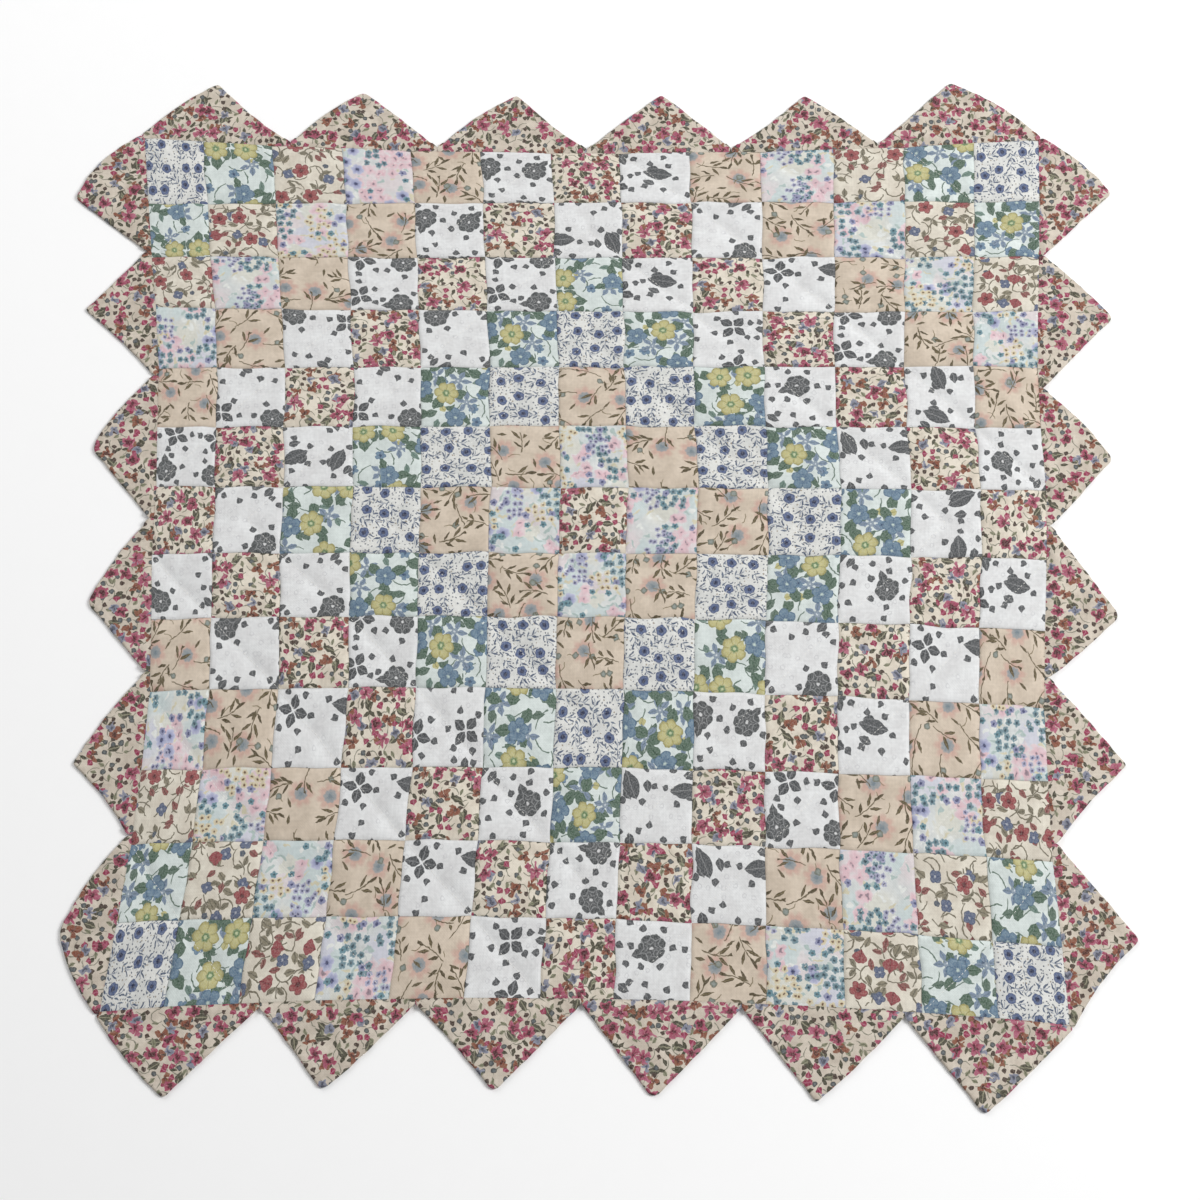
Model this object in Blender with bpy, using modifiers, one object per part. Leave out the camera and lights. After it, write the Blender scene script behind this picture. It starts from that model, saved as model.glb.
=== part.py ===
"""A patchwork quilt, lying flat and face up.

The panel is a sheet of 13 x 13 sewn cloth squares over thin wadding and a backing. It is quilted along the
diagonals of the squares in diamonds round the middle square, so soft ridges and troughs run across it in turn.
Its edge carries a dog-tooth border: 24 faced and turned cloth points, six to a side, sewn into the edge seam.

Units are metres and +Z is up. The quilt lies on z = 0, and the origin is at the middle of its underside.
"""

import math
from collections import namedtuple

import bmesh
import bpy
from mathutils import Vector

MM = 0.001

# ---- driving dimensions, in millimetres until MM turns them to metres ----
SQUARES = 13                # squares along each side of the panel
GAP = 0.3 * MM              # clearance between a point and what it is sewn to

TROUGH_HEIGHT = 1.4 * MM    # top of the cloth where a quilted trough crosses a seam
RIDGE = 0.9 * MM            # rise from a quilted trough to the next ridge
PUFF = 0.5 * MM             # rise from a square's seams to its middle
SHOULDER = 0.09             # where a square's puff starts to level out, as a share of its width
SHOULDER_RISE = 0.7         # share of the puff that is reached there

POINT_THICKNESS = 2.0 * MM  # two turned layers of cloth with wadding between them
TURNED_EDGE = 0.5 * MM      # width of the rounding along a turned edge
NECK = 3.0 * MM             # how far the notches between the points stay off the panel
TIP_HALF_WIDTH = 1.0 * MM   # least half width of a turned tip
TIP_DROP = 0.3              # fall of a tip's corners below its middle, for each half width
SLOPE_STEPS = 4             # straight lengths along each sloping edge of a point

# Finished widths of the thirteen columns. The squares are cut for 2 in (50.8), and the outer columns lose
# more of theirs to the edge seam.
COLUMN_WIDTHS = (44.0, 50.5, 52.0, 50.5, 51.5, 52.0, 50.0, 52.0, 52.5, 53.5, 52.5, 51.5, 48.5)

# The seams that run across the quilt, from the top edge to the bottom edge. Each one bows through three
# heights: at its left end, its middle and its right end.
Seam = namedtuple("Seam", "left_x right_x left_y middle_y right_y")
SEAMS = (
    Seam(-344, 344, 328, 314, 326),
    Seam(-337, 341, 270, 271, 272),
    Seam(-332, 338, 225, 224, 225),
    Seam(-326, 334, 182, 179, 179),
    Seam(-321, 331, 132, 133, 133),
    Seam(-319, 330, 84, 85, 83),
    Seam(-317, 331, 37, 36, 34),
    Seam(-317, 328, -16, -15, -20),
    Seam(-314, 323, -66, -64, -75),
    Seam(-312, 319, -120, -118, -132),
    Seam(-314, 318, -178, -176, -186),
    Seam(-318, 318, -231, -229, -243),
    Seam(-324, 320, -286, -283, -303),
    Seam(-332, 322, -347, -338, -356),
)

# The border's points, clockwise from the quilt's top left corner. `base` is the length that a point is sewn
# along, `tip` how far along its base the tip stands, `height` the tip's distance from the panel and `blunt`
# the width of the tip. `before` and `after` say how far the two sloping edges bow outwards at their middle.
Point = namedtuple("Point", "base tip height blunt before after")
BORDER = {
    "top": (
        Point(113, 51, 51, 2, 3.0, -2.5),
        Point(113, 53, 49, 6, 3.0, 0.5),
        Point(115, 60, 50, 2, 3.0, -2.0),
        Point(111, 58, 51, 2, 0.5, 0.5),
        Point(113, 59, 48, 2, -2.0, 1.0),
        Point(124, 62, 54, 4, 0.0, 4.0),
    ),
    "right": (
        Point(100, 43, 54, 4, 3.5, 0.0),
        Point(111, 49, 54, 4, 1.5, -0.5),
        Point(110, 56, 50, 6, 2.5, 0.0),
        Point(116, 65, 51, 7, 0.5, 1.0),
        Point(121, 63, 54, 0, 0.5, -1.5),
        Point(126, 69, 52, 4, 0.0, -3.5),
    ),
    "bottom": (
        Point(111, 55, 63, 4, 0.5, 0.0),
        Point(110, 58, 63, 2, 1.0, -0.5),
        Point(108, 58, 63, 6, 0.5, 0.0),
        Point(112, 58, 60, 6, 0.0, -1.5),
        Point(105, 62, 58, 6, 1.0, -1.0),
        Point(108, 65, 59, 3, -0.5, 2.5),
    ),
    "left": (
        Point(123, 52, 37, 15, 3.0, 3.0),
        Point(119, 50, 47, 0, -3.0, 2.0),
        Point(117, 55, 45, 7, 0.0, 2.5),
        Point(114, 58, 46, 9, 0.0, 2.5),
        Point(104, 60, 51, 2, -1.5, -0.5),
        Point(98, 52, 54, 1, 0.5, 7.0),
    ),
}

PANEL_COLOUR = (0.66, 0.60, 0.55, 1.0)
BORDER_COLOUR = (0.52, 0.38, 0.33, 1.0)
CLOTH_ROUGHNESS = 0.9


def cloth(name, colour):
    """A matt cotton of one colour."""
    material = bpy.data.materials.new(name)
    material.use_nodes = True
    shader = material.node_tree.nodes["Principled BSDF"]
    shader.inputs["Base Color"].default_value = colour
    shader.inputs["Roughness"].default_value = CLOTH_ROUGHNESS
    shader.inputs["Metallic"].default_value = 0.0
    return material


def crossing(column, row):
    """Where a seam down the quilt crosses a seam across it, counted from the top left corner."""
    seam = SEAMS[row]
    across = 2 * column / SQUARES - 1
    width_share = sum(COLUMN_WIDTHS[:column]) / sum(COLUMN_WIDTHS)
    tilt = (seam.right_y - seam.left_y) / 2
    bow = (seam.right_y + seam.left_y) / 2 - seam.middle_y
    x = seam.left_x + (seam.right_x - seam.left_x) * width_share
    y = seam.middle_y + tilt * across + bow * across ** 2
    return Vector((x, y)) * MM


# ---- the border's outline ------------------------------------------------

def panel_sides():
    """The crossings along each edge of the panel, clockwise from its top left corner."""
    forward = range(SQUARES + 1)
    return {
        "top": [crossing(i, 0) for i in forward],
        "right": [crossing(SQUARES, i) for i in forward],
        "bottom": [crossing(SQUARES - i, SQUARES) for i in forward],
        "left": [crossing(0, SQUARES - i) for i in forward],
    }


def outward(start, end):
    """The unit vector to the left of a clockwise edge, which points off the panel."""
    run = (end - start).normalized()
    return Vector((-run.y, run.x))


class Edge:
    """One edge of the panel, measured by the distance along it."""

    def __init__(self, corners, lead_in, lead_out):
        self.corners = corners
        self.lead_in = lead_in      # the direction that parts the first point from the side before
        self.lead_out = lead_out    # and the last point from the side after
        self.marks = [0.0]
        for start, end in zip(corners, corners[1:]):
            self.marks.append(self.marks[-1] + (end - start).length)
        self.length = self.marks[-1]

    def at(self, distance):
        """The place at a distance along the edge."""
        last = len(self.marks) - 2
        i = min(last, max(0, sum(mark <= distance for mark in self.marks) - 1))
        share = (distance - self.marks[i]) / (self.marks[i + 1] - self.marks[i])
        return self.corners[i].lerp(self.corners[i + 1], share)

    def corners_between(self, start, end):
        """The panel's own corners that lie between two distances."""
        margin = 2 * MM
        return [corner for corner, mark in zip(self.corners, self.marks) if start + margin < mark < end - margin]


def edges():
    """The four edges, with the lines that part their end points at the panel's corners."""
    sides = panel_sides()
    names = list(sides)
    middle = {name: outward(sides[name][0], sides[name][-1]) for name in names}
    result = {}
    for i, name in enumerate(names):
        before = middle[names[i - 1]]
        after = middle[names[(i + 1) % len(names)]]
        lead_in = (middle[name] + before).normalized()
        lead_out = (middle[name] + after).normalized()
        result[name] = Edge(sides[name], lead_in, lead_out)
    return result


def slope(start, end, bow, off):
    """The places between a notch and a tip, along an edge that bows outwards by a set amount."""
    places = []
    for i in range(1, SLOPE_STEPS):
        share = i / SLOPE_STEPS
        places.append(start.lerp(end, share) + off * bow * 4 * share * (1 - share))
    return places


def point_outline(edge, point, start, end, first, last):
    """The outline of one point, from the start of its base, round by the panel and back over its tip."""
    run = (edge.at(end) - edge.at(start)).normalized()
    off = Vector((-run.y, run.x))
    lead_in = edge.lead_in if first else off
    lead_out = edge.lead_out if last else off
    half_gap = run * (GAP / 2)

    base_start = edge.at(start) + lead_in * GAP + half_gap
    base_end = edge.at(end) + lead_out * GAP - half_gap
    base = [corner + off * GAP for corner in edge.corners_between(start, end)]
    notch_start = base_start + lead_in * NECK
    notch_end = base_end + lead_out * NECK

    foot = edge.at(start).lerp(edge.at(end), point.tip / point.base)
    tip = foot + off * point.height * MM
    half_width = max(point.blunt * MM / 2, TIP_HALF_WIDTH)
    tip_start = tip - run * half_width - off * half_width * TIP_DROP
    tip_end = tip + run * half_width - off * half_width * TIP_DROP

    before_off = outward(notch_start, tip_start)
    after_off = outward(tip_end, notch_end)
    rise = slope(notch_start, tip_start, point.before * MM, before_off)
    fall = slope(tip_end, notch_end, point.after * MM, after_off)
    return [base_start, notch_start, *rise, tip_start, tip, tip_end, *fall, notch_end, base_end, *reversed(base)]


def border_outlines():
    """Every point's name and outline, clockwise round the quilt."""
    outlines = {}
    for side, edge in edges().items():
        points = BORDER[side]
        stretch = edge.length / sum(point.base * MM for point in points)
        start = 0.0
        for number, point in enumerate(points, 1):
            end = start + point.base * MM * stretch
            first = number == 1
            last = number == len(points)
            outlines[f"{side}_point_{number}"] = point_outline(edge, point, start, end, first, last)
            start = end
    return outlines


def middle_of(outlines):
    """The middle of the box round the whole border, which goes to the origin."""
    places = [place for outline in outlines.values() for place in outline]
    xs = [place.x for place in places]
    ys = [place.y for place in places]
    return Vector(((min(xs) + max(xs)) / 2, (min(ys) + max(ys)) / 2))


# ---- the pieces ----------------------------------------------------------

def add_point(collection, name, outline, origin, material):
    """A flat cloth point: its outline as a curve, thickened, with its edges rounded."""
    curve = bpy.data.curves.new(name, "CURVE")
    curve.dimensions = "2D"
    curve.fill_mode = "BOTH"
    curve.extrude = POINT_THICKNESS / 2
    spline = curve.splines.new("POLY")
    spline.points.add(len(outline) - 1)
    for knot, place in zip(spline.points, outline):
        knot.co = (place.x - origin.x, place.y - origin.y, 0.0, 1.0)
    spline.use_cyclic_u = True
    curve.materials.append(material)

    point = bpy.data.objects.new(name, curve)
    point.location.z = POINT_THICKNESS / 2
    collection.objects.link(point)
    weld = point.modifiers.new("join caps", "WELD")
    weld.merge_threshold = 0.00001
    rounding = point.modifiers.new("turned edge", "BEVEL")
    rounding.width = TURNED_EDGE
    rounding.segments = 1
    rounding.limit_method = "ANGLE"
    rounding.angle_limit = math.radians(60)


def puff(share):
    """How much of its puff a square has at a share of its width: none at the seams, all in the middle."""
    nearest_seam = min(share, 1 - share)
    if nearest_seam < SHOULDER:
        return SHOULDER_RISE * nearest_seam / SHOULDER
    return SHOULDER_RISE + (1 - SHOULDER_RISE) * (nearest_seam - SHOULDER) / (0.5 - SHOULDER)


def cloth_height(column, row, u, v):
    """Height of the cloth in a square, u across it from the left and v down it from the top."""
    middle = SQUARES / 2
    rings_out = abs(column + u - middle) + abs(row + v - middle)
    ridge = abs(rings_out % 2 - 1)      # all of it on the even rings' diagonals, none on the odd rings'
    return TROUGH_HEIGHT + RIDGE * ridge + PUFF * puff(u) * puff(v)


def add_panel(collection, origin, material):
    """The sheet of squares: a fine grid shaped square by square, closed by a flat underside."""
    inner = (0.0, SHOULDER, 0.5, 1 - SHOULDER)
    steps = len(inner)
    lines = SQUARES * steps
    mesh = bmesh.new()
    bmesh.ops.create_grid(mesh, x_segments=lines, y_segments=lines, size=lines / 2)
    underside_corners = []
    for vert in mesh.verts:
        across = round(vert.co.x + lines / 2)
        down = round(lines / 2 - vert.co.y)
        column = min(across // steps, SQUARES - 1)
        row = min(down // steps, SQUARES - 1)
        u = 1.0 if across == lines else inner[across % steps]
        v = 1.0 if down == lines else inner[down % steps]
        top = crossing(column, row).lerp(crossing(column + 1, row), u)
        bottom = crossing(column, row + 1).lerp(crossing(column + 1, row + 1), u)
        place = top.lerp(bottom, v) - origin
        vert.co = (place.x, place.y, cloth_height(column, row, u, v))
        if across % steps == 0 and down % steps == 0:
            underside_corners.append((place.x, place.y))

    rim = [edge for edge in mesh.edges if edge.is_boundary]
    walls = bmesh.ops.extrude_edge_only(mesh, edges=rim)["geom"]
    hem = [item for item in walls if isinstance(item, bmesh.types.BMVert)]
    for vert in hem:
        vert.co.z = 0.0
    spare = [vert for vert in hem if not is_corner(vert, underside_corners)]
    bmesh.ops.dissolve_verts(mesh, verts=spare)
    bmesh.ops.holes_fill(mesh, edges=[edge for edge in mesh.edges if edge.is_boundary], sides=0)
    bmesh.ops.recalc_face_normals(mesh, faces=mesh.faces)

    data = bpy.data.meshes.new("patchwork_panel")
    mesh.to_mesh(data)
    mesh.free()
    data.materials.append(material)
    collection.objects.link(bpy.data.objects.new("patchwork_panel", data))


def is_corner(vert, corners):
    """Whether a point of the hem lies under the corner of a square."""
    near = 0.01 * MM
    return any(abs(vert.co.x - x) < near and abs(vert.co.y - y) < near for x, y in corners)


def build():
    """The whole quilt, in a collection of its own."""
    for item in list(bpy.data.objects):
        bpy.data.objects.remove(item, do_unlink=True)
    quilt = bpy.data.collections.new("patchwork quilt")
    bpy.context.scene.collection.children.link(quilt)

    outlines = border_outlines()
    origin = middle_of(outlines)
    add_panel(quilt, origin, cloth("patchwork cotton", PANEL_COLOUR))
    border_cloth = cloth("border cotton", BORDER_COLOUR)
    for name, outline in outlines.items():
        add_point(quilt, name, outline, origin, border_cloth)


build()
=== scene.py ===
"""The looks of a patchwork quilt that lies flat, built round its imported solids.

Metres, +Z up. The quilt lies on z = 0 with the middle of its underside at the origin. Its face is 13 x 13
squares of seven printed cottons, set in rings round the middle square and quilted in diamonds. Its edge is a
dog-tooth border.
"""

import math
import random
from collections import namedtuple

import bpy
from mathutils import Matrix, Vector, kdtree, noise


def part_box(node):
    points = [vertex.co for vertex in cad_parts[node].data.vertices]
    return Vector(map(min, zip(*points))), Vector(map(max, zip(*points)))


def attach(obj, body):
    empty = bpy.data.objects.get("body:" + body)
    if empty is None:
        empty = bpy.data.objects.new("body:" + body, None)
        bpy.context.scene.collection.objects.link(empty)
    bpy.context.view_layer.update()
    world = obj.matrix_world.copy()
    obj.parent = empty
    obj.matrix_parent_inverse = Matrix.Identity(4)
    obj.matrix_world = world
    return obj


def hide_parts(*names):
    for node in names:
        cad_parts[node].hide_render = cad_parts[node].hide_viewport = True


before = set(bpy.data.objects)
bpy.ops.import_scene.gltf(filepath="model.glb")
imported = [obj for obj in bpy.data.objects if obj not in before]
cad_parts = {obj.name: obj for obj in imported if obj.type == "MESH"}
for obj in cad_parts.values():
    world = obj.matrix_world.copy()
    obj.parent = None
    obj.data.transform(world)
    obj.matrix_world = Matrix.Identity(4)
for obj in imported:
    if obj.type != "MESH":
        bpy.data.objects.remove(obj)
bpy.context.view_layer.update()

MM = 0.001
PANEL = "patchwork_panel"

# ---- the quilt's own sizes, in millimetres until MM turns them to metres ----
SQUARES = 13                # squares along each side of the panel
SQUARE = 50.8               # finished width of a square: 2 in
COLUMN_WIDTHS = (44.0, 50.5, 52.0, 50.5, 51.5, 52.0, 50.0, 52.0, 52.5, 53.5, 52.5, 51.5, 48.5)

# The seams that run across the quilt, from the top edge to the bottom edge, as the solids have them.
Seam = namedtuple("Seam", "left_x right_x left_y middle_y right_y")
SEAMS = (
    Seam(-344, 344, 328, 314, 326),
    Seam(-337, 341, 270, 271, 272),
    Seam(-332, 338, 225, 224, 225),
    Seam(-326, 334, 182, 179, 179),
    Seam(-321, 331, 132, 133, 133),
    Seam(-319, 330, 84, 85, 83),
    Seam(-317, 331, 37, 36, 34),
    Seam(-317, 328, -16, -15, -20),
    Seam(-314, 323, -66, -64, -75),
    Seam(-312, 319, -120, -118, -132),
    Seam(-314, 318, -178, -176, -186),
    Seam(-318, 318, -231, -229, -243),
    Seam(-324, 320, -286, -283, -303),
    Seam(-332, 322, -347, -338, -356),
)

# Which cotton each ring of squares is cut from, counted out from the middle square.
RINGS = (
    "berry", "pastel", "peach", "bluebell", "garden", "grey", "berry",
    "grey", "peach", "pastel", "vine", "garden", "bluebell",
)

TROUGH_HEIGHT = 1.8         # top of the cloth along a quilted line, before the thread pulls it down
RIDGE = 0.95                # rise from there to the ridge between two lines
TO_RIDGE = SQUARE / math.sqrt(2)    # from a quilted line to the ridge beside it
LOWEST = 0.65               # the cloth goes no lower, because the backing is under it
PUFF = 0.5                  # rise from a square's seams to its middle
PUFF_POWER = 5              # a higher power makes the puff flatter, with steeper sides
SEAM_DIP = 0.5              # depth of the groove at a seam
SEAM_HALF_WIDTH = 1.1
RIM_WIDTH = 3.0             # this near the rim the groove is shallower, because the border is sewn on there
RIM_LOSS = 0.6              # share of the groove that is lost
STITCH_DIP = 1.0            # how far the quilting thread pulls the cloth down
STITCH_HALF_WIDTH = 5.0
ALLOWANCE = 6.3             # width of the seam allowance that is pressed under a square's edge
ALLOWANCE_RISE = 0.14
ALLOWANCE_SLOPE = 0.8
BACK_TOP = 0.45             # top of the backing cloth
STRAY = 1.6                 # how far a hand-sewn seam strays from its line
STRAY_LENGTH = 24
RIM_FADE = 20.0             # the seams stop straying this far from the rim

# Unevenness of the cloth: its height, and the length that it changes over.
PUCKER = 0.16               # drawn up by the thread, so it is only beside a seam or a quilted line
PUCKER_LENGTH = 7
RIPPLE = 0.22
RIPPLE_LENGTH = 23
LIE = 0.45                  # the way the whole quilt lies
LIE_LENGTH = 85


# ---- where things are on the panel ---------------------------------------

def raw_crossing(column, row):
    """Where a seam down the quilt crosses a seam across it, counted from the top left corner, in mm."""
    seam = SEAMS[row]
    across = 2 * column / SQUARES - 1
    width_share = sum(COLUMN_WIDTHS[:column]) / sum(COLUMN_WIDTHS)
    tilt = (seam.right_y - seam.left_y) / 2
    bow = (seam.right_y + seam.left_y) / 2 - seam.middle_y
    x = seam.left_x + (seam.right_x - seam.left_x) * width_share
    y = seam.middle_y + tilt * across + bow * across ** 2
    return Vector((x, y))


def moved_to_panel():
    """All the crossings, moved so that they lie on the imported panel."""
    table = [[raw_crossing(column, row) for column in range(SQUARES + 1)] for row in range(SQUARES + 1)]
    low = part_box(PANEL)[0] / MM
    left = min(place.x for line in table for place in line)
    bottom = min(place.y for line in table for place in line)
    shift = Vector((low.x - left, low.y - bottom))
    return [[place + shift for place in line] for line in table]


CROSSINGS = moved_to_panel()


def wander(place, reach):
    """How far a hand-sewn seam strays from its straight line, fading out towards the rim."""
    at = Vector((place.x, place.y, 0.0)) / STRAY_LENGTH
    stray = Vector((noise.noise(at), noise.noise(at + Vector((31, 7, 3)))))
    return stray * STRAY * min(1.0, reach / RIM_FADE)


def place_at(column, row):
    """The place in mm of a spot on the panel, counted in squares from its top left corner."""
    c = min(int(column), SQUARES - 1)
    r = min(int(row), SQUARES - 1)
    u = column - c
    v = row - r
    top = CROSSINGS[r][c].lerp(CROSSINGS[r][c + 1], u)
    bottom = CROSSINGS[r + 1][c].lerp(CROSSINGS[r + 1][c + 1], u)
    place = top.lerp(bottom, v)
    reach = min(column, row, SQUARES - column, SQUARES - row) * SQUARE
    return place + wander(place, reach)


def to_quilting(column, row):
    """How far a spot is from the nearest quilted line, in mm: the diagonals of the odd rings."""
    middle = SQUARES / 2
    rings_out = abs(column - middle) + abs(row - middle)
    return abs(rings_out % 2 - 1) * SQUARE / math.sqrt(2)


def to_seam(u, v):
    """How far a spot in a square is from its nearest seam, in mm."""
    return min(u, v, 1 - u, 1 - v) * SQUARE


def bell(distance, half_width):
    """One on a line, and fading to nothing beside it."""
    return math.exp(-(distance / half_width) ** 2)


def smooth(low, high, value):
    """From 0 at low to 1 at high, with soft ends."""
    share = min(1.0, max(0.0, (value - low) / (high - low)))
    return share * share * (3 - 2 * share)


def cloth_height(column, row, u, v, place):
    """Height in mm of the cloth in a square, u across it from the left and v down it from the top."""
    quilting = to_quilting(column + u, row + v)
    seam = to_seam(u, v)
    ridge = quilting / TO_RIDGE
    puff = (1 - abs(1 - 2 * u) ** PUFF_POWER) * (1 - abs(1 - 2 * v) ** PUFF_POWER)
    height = TROUGH_HEIGHT + RIDGE * ridge + PUFF * puff
    to_rim = min(column + u, row + v, SQUARES - column - u, SQUARES - row - v) * SQUARE
    at_rim = 1 - smooth(0, RIM_WIDTH, to_rim)
    height -= SEAM_DIP * bell(seam, SEAM_HALF_WIDTH) * (1 - RIM_LOSS * at_rim)
    height -= STITCH_DIP * bell(quilting, STITCH_HALF_WIDTH)
    if (column + row) % 2:
        height += ALLOWANCE_RISE * smooth(ALLOWANCE + ALLOWANCE_SLOPE, ALLOWANCE - ALLOWANCE_SLOPE, seam)
    at = Vector((place.x, place.y, 0.0))
    nearest = min(seam, quilting)
    height += PUCKER * noise.noise(at / PUCKER_LENGTH) * math.exp(-nearest / PUCKER_LENGTH)
    height += RIPPLE * noise.noise(at / RIPPLE_LENGTH)
    height += LIE * noise.noise(at / LIE_LENGTH + Vector((5, 2, 9)))
    return max(height, LOWEST)


# ---- meshes --------------------------------------------------------------

SEAM_LINES = (0.0, 0.006, 0.014, 0.026, 0.045)      # lines of a square's mesh beside a seam, in squares
EVEN_LINES = 22             # even steps of its mesh between those
CUTS = 11                   # different places in the repeat that each cotton's squares are cut at
CLOTH_REACH = 900           # how far from the middle of its cloth a piece may be cut
CUT_JITTER = 1.5
GRAIN_TURNS = (0, 0, 0, 1, 2)       # quarter turns: most squares are cut with the print upright
BACK_STEPS = 8              # steps of the backing's mesh along each square
BACK_INSET = 0.0008         # share by which the backing stands in from the squares' edges
BACK_DIMPLE = 0.3
BACK_DIMPLE_HALF_WIDTH = 4.0
THINNEST = 0.1              # least thickness of the backing's mesh
HEM_UNDER = 0.1             # how far a square's turned edge runs down past the backing's top
NO_EDGE = 25.0              # stands for a distance to a seam or a quilted line where there is none near

# Where things lie on the maps that their colours are baked to, as a start and a size there.
SQUARE_MAP = (0.04, 0.92)
HEM_OUT = 1.05              # a square's turned edge lies this much out from its middle, past its face
BACK_TOP_MAP = (0.01, 0.2)
BACK_UNDER_MAP = (0.23, 0.76)


def add_piece(name, places, faces, layers, material, flat_faces=()):
    """A smooth mesh from places in mm. Each layer gives every place its spot in one UV map."""
    mesh = bpy.data.meshes.new(name)
    mesh.from_pydata([place * MM for place in places], [], faces)
    corners = [0] * len(mesh.loops)
    mesh.loops.foreach_get("vertex_index", corners)
    for layer, spots in layers.items():
        flat = [number for corner in corners for number in spots[corner]]
        mesh.uv_layers.new(name=layer).data.foreach_set("uv", flat)
    mesh.polygons.foreach_set("use_smooth", [True] * len(mesh.polygons))
    for face in flat_faces:
        mesh.polygons[face].use_smooth = False
    mesh.materials.append(material)
    mesh.update()
    piece = bpy.data.objects.new(name, mesh)
    bpy.context.scene.collection.objects.link(piece)
    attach(piece, "root")
    return piece


def square_lines():
    """Where a square's mesh lines are: close together at its seams, even between them."""
    near = SEAM_LINES[-1]
    even = [near + (1 - 2 * near) * i / EVEN_LINES for i in range(1, EVEN_LINES)]
    return list(SEAM_LINES) + even + [1 - line for line in reversed(SEAM_LINES)]


def around_grid(count):
    """The places round the rim of a square grid of so many places a side, as column and row."""
    last = count - 1
    steps = range(last)
    rim = [(i, 0) for i in steps] + [(last, i) for i in steps]
    return rim + [(last - i, last) for i in steps] + [(0, last - i) for i in steps]


def somewhere(rng):
    """A place on a length of cloth to start cutting at."""
    return Vector((rng.uniform(-CLOTH_REACH, CLOTH_REACH), rng.uniform(-CLOTH_REACH, CLOTH_REACH)))


def cut_from_cloth(rng, variants):
    """Where on its cloth a square is cut: at one of a few places in the repeat, and squarely on the grain."""
    corner = rng.choice(variants)
    jitter = Vector((rng.uniform(-CUT_JITTER, CUT_JITTER), rng.uniform(-CUT_JITTER, CUT_JITTER)))
    return corner + jitter, rng.choice(GRAIN_TURNS)


def turned(spot, quarters):
    """A spot turned by quarter turns."""
    x, y = spot
    for _ in range(quarters % 4):
        x, y = -y, x
    return Vector((x, y))


def add_squares(cotton, material, rng):
    """Every square that is cut from one cotton, as one piece. Its turned edges run down to the backing."""
    lines = square_lines()
    count = len(lines)
    rim = around_grid(count)
    middle = SQUARES // 2
    margin, width = SQUARE_MAP
    cells = [
        (column, row)
        for row in range(SQUARES)
        for column in range(SQUARES)
        if RINGS[abs(column - middle) + abs(row - middle)] == cotton
    ]
    side = math.ceil(math.sqrt(len(cells)))
    variants = [somewhere(rng) for _ in range(CUTS)]
    places, faces, cloth, edge, bake = [], [], [], [], []
    walls = []
    for number, (column, row) in enumerate(cells):
        first = len(places)
        corner, quarters = cut_from_cloth(rng, variants)
        cell = Vector((number % side, number // side))
        for v in lines:
            for u in lines:
                place = place_at(column + u, row + v)
                height = cloth_height(column, row, u, v, place)
                places.append(Vector((place.x, place.y, height)))
                cloth.append(corner + turned(((u - 0.5) * SQUARE, (0.5 - v) * SQUARE), quarters))
                # The distance to the seam sets where the cotton's painted seam shade falls.
                edge.append((to_seam(u, v), to_quilting(column + u, row + v)))
                bake.append((cell + Vector((margin + width * u, 1 - margin - width * v))) / side)
        for j in range(count - 1):
            for i in range(count - 1):
                at = first + j * count + i
                faces.append((at, at + count, at + count + 1, at + 1))
        hem = len(places)
        for i, j in rim:
            above = first + j * count + i
            out = bake[above] * side - cell - Vector((0.5, 0.5))
            places.append(Vector((places[above].x, places[above].y, BACK_TOP - HEM_UNDER)))
            cloth.append(cloth[above])
            edge.append(edge[above])
            bake.append((cell + Vector((0.5, 0.5)) + out * HEM_OUT) / side)
        for k, (i, j) in enumerate(rim):
            after = (k + 1) % len(rim)
            above = first + j * count + i
            next_above = first + rim[after][1] * count + rim[after][0]
            walls.append(len(faces))
            faces.append((above, next_above, hem + after, hem + k))
    layers = {"OFBake": bake, "cloth": cloth, "edge": edge}
    piece = add_piece(f"{cotton}_squares", places, faces, layers, material, walls)
    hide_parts(PANEL)
    return piece


def add_backing(material):
    """The plain cotton back: a thin closed sheet, dimpled from below where the quilting holds it."""
    count = SQUARES * BACK_STEPS + 1
    inset = 1 - BACK_INSET
    places, faces, cloth, edge, bake = [], [], [], [], []
    for side in (0, 1):
        for j in range(count):
            for i in range(count):
                column = i / BACK_STEPS
                row = j / BACK_STEPS
                place = place_at(column, row)
                dimple = BACK_DIMPLE * bell(to_quilting(column, row), BACK_DIMPLE_HALF_WIDTH)
                height = BACK_TOP if side == 0 else min(dimple, BACK_TOP - THINNEST)
                places.append(Vector((place.x * inset, place.y * inset, height)))
                cloth.append((place.x, place.y))
                edge.append((NO_EDGE, to_quilting(column, row)))
                start, width = BACK_TOP_MAP if side == 0 else BACK_UNDER_MAP
                bake.append((start + width * i / (count - 1), start + width * j / (count - 1)))
    layer = count * count
    for j in range(count - 1):
        for i in range(count - 1):
            at = j * count + i
            faces.append((at, at + count, at + count + 1, at + 1))
            faces.append((layer + at, layer + at + 1, layer + at + count + 1, layer + at + count))
    rim = [j * count + i for i, j in around_grid(count)]
    for k, at in enumerate(rim):
        after = rim[(k + 1) % len(rim)]
        faces.append((at, after, layer + after, layer + at))
    layers = {"OFBake": bake, "cloth": cloth, "edge": edge}
    piece = add_piece("backing", places, faces, layers, material)
    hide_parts(PANEL)
    return piece


# ---- the border's points -------------------------------------------------

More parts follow.
